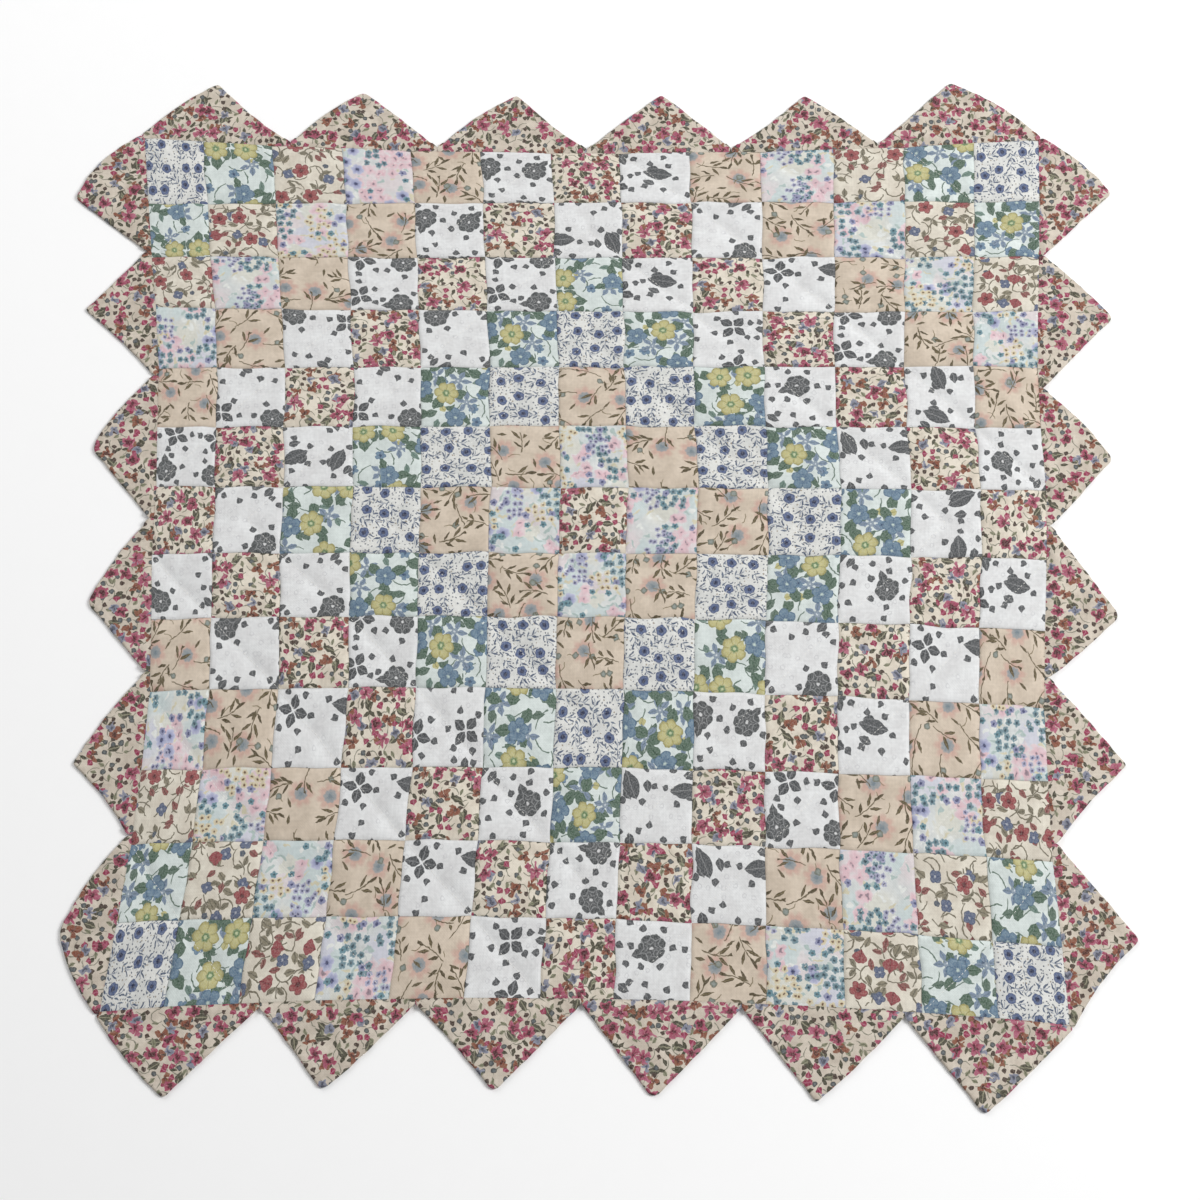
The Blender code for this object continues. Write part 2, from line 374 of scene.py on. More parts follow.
WIDEST = (0.1, 0.9)         # between these heights a packed point has its full outline
POINT_STEP = 1.25
POINT_MID = 0.95            # half a point's thickness
EDGE_ROUND = 1.0            # radius of its turned edge
EDGE_STRAY = 0.7            # how far its turned edge strays
EDGE_STRAY_LENGTH = 9
EDGE_FULLNESS = 0.15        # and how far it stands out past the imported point's on the whole
HEM = 5.5                   # width of the turned-in allowance along its slopes
HEM_STEP = (-0.9, 0.7)      # from here to here, counted from that width, its rise ends
HEM_START = 1.5             # over this much from the slope its rise sets in
HEM_RISE = 0.28
CROWN = 0.45                # rise from its slopes to its middle
CROWN_WIDTH = 14
POINT_PUCKER = 0.16
POINT_PUCKER_LENGTH = 9
POINT_LIE = 0.35
POINT_LIE_LENGTH = 40
NEAR_POINT = 110            # stretches of the panel's rim this near a point's middle may be at its base
AT_BASE = 1.2               # what is this near the panel's rim is held in its seam
JOIN = 7.0                  # over this much it rises from the height of the panel's rim to its own
JOIN_LIFT = 0.03            # how far it starts above the rim's height
JOIN_RISE = 0.9
JOIN_LEAST = 0.6            # share of its own height that it keeps there
UNDERLAP = 0.5              # how far its base tucks in beside the panel's last seam
EDGE_WALL = 0.02            # height of the wall between its face and its underside

# Rings of its mesh, as shares of its outline, on its face and underneath.
RINGS_IN = (1.0, 0.994, 0.984, 0.968, 0.945, 0.91, 0.87, 0.82, 0.76, 0.69, 0.6, 0.5, 0.4, 0.3, 0.2, 0.1)
RINGS_UNDER = (0.984, 0.93, 0.6, 0.3)

# Where its face and its underside lie on its baked map: left, bottom, width and height.
FACE_MAP = (0.015, 0.015, 0.97, 0.9)
UNDER_MAP = (0.2, 0.66, 0.6, 0.5)

RIM_STEPS = 12              # heights that are looked up along each square at the rim
INWARD = {"top": (0, -1), "right": (-1, 0), "bottom": (0, 1), "left": (1, 0)}   # the way in from each side

Rim = namedtuple("Rim", "line tree heights")        # the panel's rim, and the height of the cloth along it
Outline = namedtuple("Outline", "places middle at_base beside")


def outline_of(node):
    """A packed point's outline in mm, in order round its middle."""
    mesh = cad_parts[node].data
    low, high = WIDEST
    at_rim = [vert.co / MM for vert in mesh.vertices if low * MM < vert.co.z < high * MM]
    spots = sorted({(round(place.x, 2), round(place.y, 2)) for place in at_rim})
    middle = Vector((sum(x for x, _ in spots), sum(y for _, y in spots))) / len(spots)
    spots.sort(key=lambda spot: math.atan2(spot[1] - middle.y, spot[0] - middle.x))
    return [Vector(spot) for spot in spots]


def walk(outline, step):
    """Places at even steps along a closed outline."""
    lengths = [(after - before).length for before, after in zip(outline, outline[1:] + outline[:1])]
    count = round(sum(lengths) / step)
    pace = sum(lengths) / count
    result = []
    i = 0
    passed = 0.0
    for k in range(count):
        target = k * pace
        while passed + lengths[i] < target:
            passed += lengths[i]
            i += 1
        share = (target - passed) / lengths[i]
        result.append(outline[i].lerp(outline[(i + 1) % len(outline)], share))
    return result


def find_rim():
    """The panel's rim, with the height of the cloth along it, to be looked up by place."""
    spots = []
    for i in range(SQUARES * RIM_STEPS):
        far = i / RIM_STEPS
        spots += [(far, 0.0), (SQUARES, far), (SQUARES - far, SQUARES), (0.0, SQUARES - far)]
    tree = kdtree.KDTree(len(spots))
    heights = []
    for number, (across, down) in enumerate(spots):
        place = place_at(across, down)
        column = min(int(across), SQUARES - 1)
        row = min(int(down), SQUARES - 1)
        heights.append(cloth_height(column, row, across - column, down - row, place))
        tree.insert((place.x, place.y, 0.0), number)
    tree.balance()
    line = [CROSSINGS[row][column] for column, row in around_grid(SQUARES + 1)]
    return Rim(line, tree, heights)


def distance_to(place, stretches):
    """The distance from a place to the nearest of some straight stretches."""
    best = 1e9
    for start, end in stretches:
        run = end - start
        share = min(1.0, max(0.0, (place - start).dot(run) / max(run.length_squared, 1e-9)))
        best = min(best, (start + run * share - place).length)
    return best


EASINGS = 2


def soften(outline, held):
    """The outline with its corners eased, as turned cloth has them. Places that are held stay."""
    count = len(outline)
    for _ in range(EASINGS):
        eased = []
        for i, place in enumerate(outline):
            beside = (outline[i - 1] + outline[(i + 1) % count]) / 2
            eased.append(place.copy() if held[i] else place.lerp(beside, 0.5))
        outline = eased
    return outline


def turned_outline(node, rim):
    """A point's outline once it is turned right side out, with its base tucked in at the panel's rim."""
    places = walk(outline_of(node), POINT_STEP)
    middle = sum(places, Vector((0.0, 0.0))) / len(places)
    stretches = zip(rim.line, rim.line[1:] + rim.line[:1])
    beside = [ends for ends in stretches if distance_to(middle, [ends]) < NEAR_POINT]
    at_base = [distance_to(place, beside) < AT_BASE for place in places]
    inward = Vector(INWARD[node.split("_")[0]])
    strayed = []
    for place, held in zip(soften(places, at_base), at_base):
        out = (place - middle).normalized()
        at = Vector((place.x, place.y, 5.0)) / EDGE_STRAY_LENGTH
        stray = EDGE_STRAY * noise.noise(at) + EDGE_FULLNESS
        strayed.append(place + (inward * UNDERLAP if held else out * stray))
    return Outline(strayed, middle, at_base, beside)


def find_slopes(outline):
    """Gives a function for the distance from a place to the point's two sloping edges."""
    count = len(outline.places)
    held = outline.at_base
    start = next(i for i in range(count) if held[i - 1] and not held[i])
    order = [(start + i) % count for i in range(count)]
    slopes = [outline.places[i] for i in order if not held[i]]
    tree = kdtree.KDTree(len(slopes))
    for number, place in enumerate(slopes):
        tree.insert((place.x, place.y, 0.0), number)
    tree.balance()

    def to_slope(place):
        nearest = tree.find((place.x, place.y, 0.0))[1]
        around = slopes[max(0, nearest - 1):nearest + 2]
        return distance_to(place, list(zip(around, around[1:])))

    return to_slope


def rounding_at(slope):
    """How far the turned edge has rounded out at a distance from it, from nothing to one."""
    return math.sqrt(max(0.0, 1 - (1 - min(1.0, slope / EDGE_ROUND)) ** 2))


def face_height(flat, slope, base, rim):
    """Height in mm of a point's face, from its distances to its slopes and to the panel's rim."""
    rounding = rounding_at(slope)
    full, none = HEM_STEP
    hem = HEM_RISE * smooth(HEM + none, HEM + full, slope) * smooth(0, HEM_START, slope)
    crown = CROWN * smooth(0, CROWN_WIDTH, slope) + hem
    at = Vector((flat.x, flat.y, 0.0))
    pucker = POINT_PUCKER * noise.noise(at / POINT_PUCKER_LENGTH)
    lie = POINT_LIE * noise.noise(at / POINT_LIE_LENGTH + Vector((2, 4, 6)))
    height = POINT_MID * (1 + rounding) + crown
    height += pucker + lie
    if base < JOIN:
        nearest = rim.tree.find((flat.x, flat.y, 0.0))[1]
        joined = rim.heights[nearest] + JOIN_LIFT + JOIN_RISE * smooth(0, JOIN, base)
        height = joined + (height - joined) * smooth(0, JOIN, base) * rounding
        height = max(height, POINT_MID * (1 + rounding) * JOIN_LEAST)
    return height


def add_point(node, rim, material, rng):
    """One faced and turned cloth point of the border: rings of faces from its outline in to its middle."""
    outline = turned_outline(node, rim)
    to_slope = find_slopes(outline)
    middle = outline.middle
    corner = somewhere(rng)
    quarters = rng.randrange(4)
    low = Vector((min(p.x for p in outline.places), min(p.y for p in outline.places)))
    high = Vector((max(p.x for p in outline.places), max(p.y for p in outline.places)))
    size = max(high.x - low.x, high.y - low.y)
    wide = high.x - low.x >= high.y - low.y
    places, cloth, edge, bake, faces = [], [], [], [], []

    def add_place(flat, top):
        slope = to_slope(flat)
        base = distance_to(flat, outline.beside)
        height = face_height(flat, slope, base, rim) if top else POINT_MID * (1 - rounding_at(slope))
        places.append(Vector((flat.x, flat.y, height)))
        cloth.append(corner + turned(flat - middle, quarters))
        # The distance to a slope or to the base sets the cotton's painted shade along the point's turned edge
        # and its seam.
        edge.append((min(slope, base), NO_EDGE))
        spot = (flat - low) / size
        if not wide:
            spot = Vector((spot.y, spot.x))
        left, bottom, width, depth = FACE_MAP if top else UNDER_MAP
        bake.append((left + width * spot.x, bottom + depth * spot.y))

    count = len(outline.places)
    for share in RINGS_IN:
        for place in outline.places:
            add_place(middle.lerp(place, share), True)
    add_place(middle, True)
    tip_top = len(places) - 1
    under = len(places)
    for share in (1.0,) + RINGS_UNDER:
        for place in outline.places:
            add_place(middle.lerp(place, share), False)
            if share == 1.0:
                places[-1].z = places[len(places) - 1 - under].z - EDGE_WALL
    add_place(middle, False)
    tip_under = len(places) - 1

    creased = []

    def bridge(first, second, flip, crease_base=False):
        for k in range(count):
            after = (k + 1) % count
            if crease_base and (outline.at_base[k] or outline.at_base[after]):
                creased.append(len(faces))
            face = (first + k, first + after, second + after, second + k)
            faces.append(face[::-1] if flip else face)

    for ring in range(len(RINGS_IN) - 1):
        bridge(ring * count, (ring + 1) * count, False)
    for ring in range(len(RINGS_UNDER)):
        bridge(under + ring * count, under + (ring + 1) * count, True, crease_base=ring == 0)
    bridge(0, under, True, crease_base=True)
    inner = (len(RINGS_IN) - 1) * count
    inner_under = under + len(RINGS_UNDER) * count
    for k in range(count):
        after = (k + 1) % count
        faces.append((inner + k, inner + after, tip_top))
        faces.append((inner_under + after, inner_under + k, tip_under))
    layers = {"OFBake": bake, "cloth": cloth, "edge": edge}
    piece = add_piece(f"cloth_{node}", places, faces, layers, material, creased)
    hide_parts(node)
    return piece


# ---- the quilting thread -------------------------------------------------

STITCH = 2.3                # length of a stitch on the face
STITCH_PITCH = 3.1
STITCH_AHEAD = 0.01         # how far ahead a stitch looks for its direction, in squares
THREAD = 0.34               # width of the thread, drawn a little wide of 0.25 so that it shows
CLEAR_OF_RIM = 0.06         # no stitch is nearer the panel's rim than this, in squares

# A stitch's stations: how far along it, how full the thread is there and how high its crown stands.
STATIONS = ((-0.5, 0.0, -0.25), (-0.28, 1.0, 0.12), (0.28, 1.0, 0.12), (0.5, 0.0, -0.25))
THREAD_ROUND = 0.16         # fall from the thread's crown to its sides
THREAD_LIFT = 0.1


def quilted_lines():
    """The straight runs of quilting, in squares from the top left corner: the sides of each diamond."""
    middle = SQUARES / 2
    runs = []
    for ring in range(1, SQUARES, 2):
        right = Vector((middle + ring, middle))
        low = Vector((middle, middle + ring))
        left = Vector((middle - ring, middle))
        high = Vector((middle, middle - ring))
        runs += [(right, low), (low, left), (left, high), (high, right)]
    return runs


def add_stitches(material):
    """Running stitches in cotton thread along every quilted line."""
    places, faces, bake = [], [], []
    spots = []
    for start, end in quilted_lines():
        length = (end - start).length * SQUARE
        count = int(length / STITCH_PITCH)
        for k in range(count):
            share = (k + 0.5) / count
            at = start.lerp(end, share)
            if CLEAR_OF_RIM < min(at) and max(at) < SQUARES - CLEAR_OF_RIM:
                spots.append((at, (end - start).normalized()))
    side = math.ceil(math.sqrt(len(spots)))
    for number, (at, run) in enumerate(spots):
        here = place_at(at.x, at.y)
        ahead = place_at(at.x + run.x * STITCH_AHEAD, at.y + run.y * STITCH_AHEAD)
        along = (ahead - here).normalized()
        across = Vector((-along.y, along.x))
        column = int(at.x)
        row = int(at.y)
        height = cloth_height(column, row, at.x - column, at.y - row, here)
        first = len(places)
        cell = Vector((number % side, number // side))
        for way, width, rise in STATIONS:
            for aside in (-1, 0, 1):
                flat = here + along * way * STITCH + across * aside * THREAD * (0.25 + 0.25 * width)
                lift = rise if aside == 0 else rise - THREAD_ROUND
                places.append(Vector((flat.x, flat.y, height + lift + THREAD_LIFT)))
                bake.append((cell + Vector((0.5 + 0.8 * way, 0.5 + 0.4 * aside))) / side)
        for station in range(3):
            for aside in range(2):
                low = first + station * 3 + aside
                faces.append((low, low + 3, low + 4, low + 1))
    piece = add_piece("quilting_stitches", places, faces, {"OFBake": bake}, material)
    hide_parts(PANEL)
    return piece


# ---- materials -----------------------------------------------------------

def linear(hex_colour):
    """An sRGB hex colour as the linear colour that Blender works in."""
    parts = [int(hex_colour[i:i + 2], 16) / 255 for i in (0, 2, 4)]
    return tuple(p / 12.92 if p <= 0.04045 else ((p + 0.055) / 1.055) ** 2.4 for p in parts) + (1.0,)


def add(tree, kind, sockets=(), **settings):
    """Adds a node with its settings. A socket takes a number, a vector, a node or a node's output."""
    made = tree.nodes.new("ShaderNode" + kind)
    for name, value in settings.items():
        setattr(made, name, value)
    pairs = sockets.items() if isinstance(sockets, dict) else enumerate(sockets)
    for key, value in pairs:
        if isinstance(value, bpy.types.Node):
            value = value.outputs[0]
        if isinstance(value, bpy.types.NodeSocket):
            tree.links.new(value, made.inputs[key])
        else:
            made.inputs[key].default_value = value
    return made


def new_shape(name, takes, gives):
    """An empty group for a printed shape, with its sockets: the group, what goes in and what comes out."""
    group = bpy.data.node_groups.new(name, "ShaderNodeTree")
    for label, value in takes.items():
        kind = "NodeSocketVector" if isinstance(value, tuple) else "NodeSocketFloat"
        socket = group.interface.new_socket(label, in_out="INPUT", socket_type=kind)
        socket.default_value = value
    for label, kind in gives.items():
        group.interface.new_socket(label, in_out="OUTPUT", socket_type=kind)
    given = group.nodes.new("NodeGroupInput").outputs
    result = group.nodes.new("NodeGroupOutput").inputs
    return group, given, result


FLOAT = "NodeSocketFloat"
VECTOR = "NodeSocketVector"
BLUR = 0.22                 # mm over which an ink's edge bleeds into the cloth


def make_scatter():
    """Throws a motif at every place of a jittered lattice, each turned its own way."""
    takes = {"Place": (0.0, 0.0, 0.0), "Shift": (0.0, 0.0, 0.0), "Spacing": 10.0, "Jitter": 0.8, "Turn": 1.0}
    gives = {"Local": VECTOR, "Pick": FLOAT, "Middle": VECTOR}
    group, given, result = new_shape("scatter", takes, gives)
    moved = add(group, "VectorMath", (given["Place"], given["Shift"]), operation="ADD")
    scale = add(group, "Math", (1.0, given["Spacing"]), operation="DIVIDE")
    cells = add(
        group, "TexVoronoi", {"Vector": moved, "Scale": scale, "Randomness": given["Jitter"]},
        voronoi_dimensions="2D",
    )
    local = add(group, "VectorMath", (moved, cells.outputs["Position"]), operation="SUBTRACT")
    chance = add(group, "SeparateColor", (cells.outputs["Color"],))
    away = add(group, "Math", (chance.outputs["Red"], 0.5), operation="SUBTRACT")
    share = add(group, "Math", (away, given["Turn"]), operation="MULTIPLY")
    angle = add(group, "Math", (share, 2 * math.pi), operation="MULTIPLY")
    spun = add(group, "VectorRotate", {"Vector": local, "Angle": angle}, rotation_type="Z_AXIS")
    group.links.new(spun.outputs[0], result["Local"])
    group.links.new(chance.outputs["Green"], result["Pick"])
    group.links.new(cells.outputs["Position"], result["Middle"])
    return group


def round_middle(group, given):
    """A spot's distance from a shape's middle, and its direction from there."""
    far = add(group, "VectorMath", (given["Local"],), operation="LENGTH").outputs["Value"]
    axes = add(group, "SeparateXYZ", (given["Local"],))
    angle = add(group, "Math", (axes.outputs["Y"], axes.outputs["X"]), operation="ARCTAN2")
    return far, angle


def along_shape(group, given):
    """A spot's distance aside from a shape's own line, and how far along it is: one at either end."""
    near = add(group, "VectorMath", (given["Local"], given["Middle"]), operation="SUBTRACT")
    spun = add(group, "VectorRotate", {"Vector": near, "Angle": given["Turn"]}, rotation_type="Z_AXIS")
    axes = add(group, "SeparateXYZ", (spun,))
    twice = add(group, "Math", (axes.outputs["X"], 2.0), operation="MULTIPLY")
    along = add(group, "Math", (twice, given["Length"]), operation="DIVIDE")
    square = add(group, "Math", (along, along), operation="MULTIPLY")
    return axes.outputs["Y"], along, square


def make_flower():
    """A round of petals: a mask, and how far out of it a spot is."""
    takes = {"Local": (0.0, 0.0, 0.0), "Radius": 4.0, "Petals": 5.0, "Cut": 0.3, "Blur": BLUR}
    gives = {"Mask": FLOAT, "Out": FLOAT, "Far": FLOAT, "Lobe": FLOAT}
    group, given, result = new_shape("flower", takes, gives)
    far, angle = round_middle(group, given)
    turn = add(group, "Math", (angle, given["Petals"]), operation="MULTIPLY")
    half = add(group, "Math", (turn, 0.5), operation="MULTIPLY")
    wave = add(group, "Math", (half,), operation="COSINE")
    lobe = add(group, "Math", (wave,), operation="ABSOLUTE")
    full = add(group, "Math", (lobe, 0.75), operation="POWER")
    notch = add(group, "Math", (1.0, full), operation="SUBTRACT")
    lost = add(group, "Math", (notch, given["Cut"]), operation="MULTIPLY")
    kept = add(group, "Math", (1.0, lost), operation="SUBTRACT")
    reach = add(group, "Math", (kept, given["Radius"]), operation="MULTIPLY")
    inside = add(group, "Math", (reach, far), operation="SUBTRACT")
    less = add(group, "Math", (given["Blur"], -1.0), operation="MULTIPLY")
    mask = add(group, "MapRange", (inside, less, given["Blur"]), interpolation_type="SMOOTHSTEP")
    out = add(group, "Math", (far, reach), operation="DIVIDE")
    group.links.new(mask.outputs[0], result["Mask"])
    group.links.new(out.outputs[0], result["Out"])
    group.links.new(far, result["Far"])
    group.links.new(lobe.outputs[0], result["Lobe"])
    return group


def make_leaf():
    """A pointed leaf along its own X: a mask, and how far a spot is from its rib."""
    takes = {
        "Local": (0.0, 0.0, 0.0), "Middle": (0.0, 0.0, 0.0), "Turn": 0.0,
        "Length": 6.0, "Width": 3.0, "Lean": 0.3,
    }
    gives = {"Mask": FLOAT, "Rib": FLOAT}
    group, given, result = new_shape("leaf", takes, gives)
    off_line, along, square = along_shape(group, given)
    lens = add(group, "Math", (1.0, square), operation="SUBTRACT")
    lean = add(group, "Math", (along, given["Lean"]), operation="MULTIPLY")
    fuller = add(group, "Math", (1.0, lean), operation="SUBTRACT")
    kept = add(group, "Math", (fuller, 0.05), operation="MAXIMUM")
    shape = add(group, "Math", (lens, kept), operation="MULTIPLY")
    half = add(group, "Math", (given["Width"], 0.5), operation="MULTIPLY")
    reach = add(group, "Math", (shape, half), operation="MULTIPLY")
    aside = add(group, "Math", (off_line,), operation="ABSOLUTE")
    inside = add(group, "Math", (reach, aside), operation="SUBTRACT")
    mask = add(group, "MapRange", (inside, -BLUR * 0.6, BLUR), interpolation_type="SMOOTHSTEP")
    group.links.new(mask.outputs[0], result["Mask"])
    group.links.new(aside.outputs[0], result["Rib"])
    return group


def make_stem():
    """A thin stem along its own X that bows to one side."""
    takes = {
        "Local": (0.0, 0.0, 0.0), "Middle": (0.0, 0.0, 0.0), "Turn": 0.0,
        "Length": 9.0, "Bow": 2.0, "Width": 0.8,
    }
    group, given, result = new_shape("stem", takes, {"Mask": FLOAT})
    off_line, _, square = along_shape(group, given)
    arch = add(group, "Math", (square, given["Bow"]), operation="MULTIPLY")
    away = add(group, "Math", (off_line, arch), operation="SUBTRACT")
    aside = add(group, "Math", (away,), operation="ABSOLUTE")
    half = add(group, "Math", (given["Width"], 0.5), operation="MULTIPLY")
    inside = add(group, "Math", (half, aside), operation="SUBTRACT")
    line = add(group, "MapRange", (inside, -BLUR, BLUR), interpolation_type="SMOOTHSTEP")
    end = add(group, "MapRange", (square, 0.9, 1.05, 1.0, 0.0))
    mask = add(group, "Math", (line, end), operation="MULTIPLY")
    group.links.new(mask.outputs[0], result["Mask"])
    return group


def make_round():
    """Folds the cloth round a middle, so that what is drawn once at a distance from it comes in a ring."""
    takes = {"Local": (0.0, 0.0, 0.0), "Count": 5.0, "Radius": 5.0}
    group, given, result = new_shape("round", takes, {"Local": VECTOR})
    far, angle = round_middle(group, given)
    half = add(group, "Math", (math.pi, given["Count"]), operation="DIVIDE")
    less = add(group, "Math", (half, -1.0), operation="MULTIPLY")
    folded = add(group, "Math", (angle, half, less), operation="WRAP")
    cosine = add(group, "Math", (folded,), operation="COSINE")
    sine = add(group, "Math", (folded,), operation="SINE")
    x = add(group, "Math", (far, cosine), operation="MULTIPLY")
    y = add(group, "Math", (far, sine), operation="MULTIPLY")
    out = add(group, "Math", (x, given["Radius"]), operation="SUBTRACT")
    local = add(group, "CombineXYZ", (out, y))
    group.links.new(local.outputs[0], result["Local"])
    return group


SCATTER = make_scatter()
FLOWER = make_flower()
LEAF = make_leaf()
STEM = make_stem()
ROUND = make_round()

Cells = namedtuple("Cells", "local pick middle")
ALL = (0.0, 1.0)


class Printing:
    """A cloth's print as it is built up. Each ink goes over what is there already."""

    def __init__(self, tree, place, ragged_place, ground):
        self.tree = tree
        self.place = place
        self.ragged_place = ragged_place
        self.ground = ground
        self.cloth = ground

    def ink(self, colour, mask, cells=None, share=ALL, strength=1.0):
        """Lays one colour where its mask is, in a share of the cells."""
        if share != ALL:
            middle = (share[0] + share[1]) / 2
            half = (share[1] - share[0]) / 2
            chosen = add(self.tree, "Math", (cells.pick, middle, half), operation="COMPARE")
            mask = add(self.tree, "Math", (mask, chosen), operation="MULTIPLY")
        if strength != 1.0:
            mask = add(self.tree, "Math", (mask, strength), operation="MULTIPLY")
        over = linear(colour) if isinstance(colour, str) else colour
        mix = add(self.tree, "Mix", {0: mask, 6: self.cloth, 7: over}, data_type="RGBA")
        self.cloth = mix.outputs[2]

    def scatter(self, spacing, jitter=0.8, turn=1.0, shift=(0.0, 0.0), ragged=False):
        """A lattice of places for one kind of motif. Ragged ones have looser edges."""
        sockets = {
            "Place": self.ragged_place if ragged else self.place, "Shift": (shift[0], shift[1], 0.0),
            "Spacing": spacing, "Jitter": jitter, "Turn": turn,
        }
        made = add(self.tree, "Group", sockets, node_tree=SCATTER)
        return Cells(made.outputs["Local"], made.outputs["Pick"], made.outputs["Middle"])

    def round(self, cells, count, radius):
        """The same cells, folded so that a motif comes in a ring round each middle."""
        sockets = {"Local": cells.local, "Count": float(count), "Radius": radius}
        made = add(self.tree, "Group", sockets, node_tree=ROUND)
        return Cells(made.outputs["Local"], cells.pick, cells.middle)

    def mirrored(self, cells):
        """The same cells, folded so that a motif comes in a pair, one on each side."""
        axes = add(self.tree, "SeparateXYZ", (cells.local,))
        aside = add(self.tree, "Math", (axes.outputs["Y"],), operation="ABSOLUTE")
        local = add(self.tree, "CombineXYZ", (axes.outputs["X"], aside))
        return Cells(local.outputs[0], cells.pick, cells.middle)

    def zone(self, cells, spacing, low, high):
        """The same cells, kept only where the cloth is in one of its zones of colour."""
        sockets = {"Place": cells.middle, "Spacing": spacing, "Jitter": 1.0}
        made = add(self.tree, "Group", sockets, node_tree=SCATTER)
        sockets = (made.outputs["Pick"], (low + high) / 2, (high - low) / 2)
        chosen = add(self.tree, "Math", sockets, operation="COMPARE")
        shown = add(self.tree, "MapRange", (chosen, 0.0, 1.0, 2.0, 0.5))
        return Cells(cells.local, shown.outputs[0], cells.middle)

    def kept_off(self, cells, reach, spacing, jitter, shift):
        """The same cells, but none whose middle is within reach of a middle of another, wider lattice."""
        sockets = {
            "Place": cells.middle, "Shift": (shift[0], shift[1], 0.0), "Spacing": spacing, "Jitter": jitter,
        }
        made = add(self.tree, "Group", sockets, node_tree=SCATTER)
        far = add(self.tree, "VectorMath", (made.outputs["Local"],), operation="LENGTH").outputs["Value"]
        too_near = add(self.tree, "Math", (far, reach), operation="LESS_THAN")
        pick = add(self.tree, "Math", (too_near, 2.0, cells.pick), operation="MULTIPLY_ADD")
        return Cells(cells.local, pick.outputs[0], cells.middle)

    def flower(
        self, cells, radius, petals, cut, colour, share=ALL, eye=None, eye_share=0.3, rim=None, line=None,
        clearing=0.0, blur=BLUR, strength=1.0,
    ):
        """A flower. Its rim, its eye and the line round each petal are drawn if they have a colour."""
        sockets = {
            "Local": cells.local, "Radius": radius, "Petals": float(petals), "Cut": cut, "Blur": blur,
        }
        made = add(self.tree, "Group", sockets, node_tree=FLOWER)
        if clearing:
            reach = radius + clearing
            bare = add(self.tree, "MapRange", (made.outputs["Far"], reach, reach - 0.5))
            self.ink(self.ground, bare.outputs[0], cells, share)
        over = linear(colour)
        if rim:
            fade = add(self.tree, "MapRange", (made.outputs["Out"], 0.35, 1.0))
            shaded = add(self.tree, "Mix", {0: fade, 6: over, 7: linear(rim)}, data_type="RGBA")
            over = shaded.outputs[2]
        if line:
            edge = add(self.tree, "MapRange", (made.outputs["Out"], 0.8, 0.95, 0.0, 0.8))
            parting = add(self.tree, "MapRange", (made.outputs["Lobe"], 0.3, 0.05, 0.0, 0.8))
            drawn = add(self.tree, "Math", (edge, parting), operation="MAXIMUM")
            lined = add(self.tree, "Mix", {0: drawn, 6: over, 7: linear(line)}, data_type="RGBA")
            over = lined.outputs[2]
        self.ink(over, made.outputs["Mask"], cells, share, strength)
        if eye:
            inner = add(self.tree, "MapRange", (made.outputs["Out"], eye_share + 0.08, eye_share - 0.08))
            self.ink(eye, inner.outputs[0], cells, share, strength)
        return made

    def leaf(self, cells, length, width, colour, share=ALL, rib=None, middle=(0.0, 0.0), turn=0.0, lean=0.3):
        """A leaf, with its rib if that has a colour."""
        sockets = {
            "Local": cells.local, "Middle": (middle[0], middle[1], 0.0), "Turn": math.radians(turn),
            "Length": length, "Width": width, "Lean": lean,
        }
        made = add(self.tree, "Group", sockets, node_tree=LEAF)
        self.ink(colour, made.outputs["Mask"], cells, share)
        if rib:
            line = add(self.tree, "MapRange", (made.outputs["Rib"], 0.5, 0.15))
            vein = add(self.tree, "Math", (line, made.outputs["Mask"]), operation="MULTIPLY")
            self.ink(rib, vein, cells, share)

    def stem(self, cells, length, bow, width, colour, share=ALL, middle=(0.0, 0.0), turn=0.0):
        """A bowed stem."""
        sockets = {
            "Local": cells.local, "Middle": (middle[0], middle[1], 0.0), "Turn": math.radians(turn),
            "Length": length, "Bow": bow, "Width": width,
        }
        made = add(self.tree, "Group", sockets, node_tree=STEM)
        self.ink(colour, made.outputs["Mask"], cells, share)


SHOWN = (0.4, 0.6)          # the share that picks what a zone shows


def print_berry(p):
    """Ragged crimson and rust blooms and buds among olive and slate sprigs, closely set on cream."""
    stems = p.scatter(8.6, shift=(3, 7))
    p.stem(stems, 10.0, 2.6, 0.7, "79786a")
    leaves = p.scatter(17.0, jitter=0.9, shift=(25, 60))
    p.leaf(leaves, 9.5, 5.0, "47463a", share=(0.0, 0.75), rib="8d8a74")
    small = p.scatter(5.6, jitter=0.9)
    p.leaf(small, 5.4, 2.6, "85866f", share=(0.0, 0.16), rib="5f5f4c")
    p.leaf(small, 4.0, 3.4, "453832", share=(0.16, 0.36), lean=0.8)
    p.flower(small, 1.9, 4, 0.12, "5d6467", share=(0.36, 0.53), rim="2f3437")
    p.leaf(small, 5.0, 4.6, "8a2d4a", share=(0.53, 0.7), lean=0.9, rib="aa5c76")
    p.leaf(small, 6.2, 2.6, "424133", share=(0.7, 0.9))
    rust = p.scatter(15.5, jitter=0.85, shift=(40, 11), ragged=True)
    p.flower(rust, 4.6, 3, 0.86, "7c4233", share=(0.0, 0.66), rim="875a46", eye="4a2a24", eye_share=0.36)
    slate = p.scatter(19.0, jitter=0.9, shift=(4, 21), ragged=True)
    p.flower(slate, 3.6, 4, 0.5, "6c7282", share=(0.0, 0.55), rim="8d8fa0", eye="474b5c", eye_share=0.4)
    crimson = p.scatter(15.0, jitter=0.85, shift=(9, 52), ragged=True)
    p.flower(crimson, 4.8, 4, 0.55, "80293f", share=(0.0, 0.34), rim="a85670", eye="4a1a26", eye_share=0.5)
    p.flower(crimson, 5.5, 5, 0.66, "8c344f", share=(0.34, 0.6), rim="b0687e", eye="541f2e", eye_share=0.36)


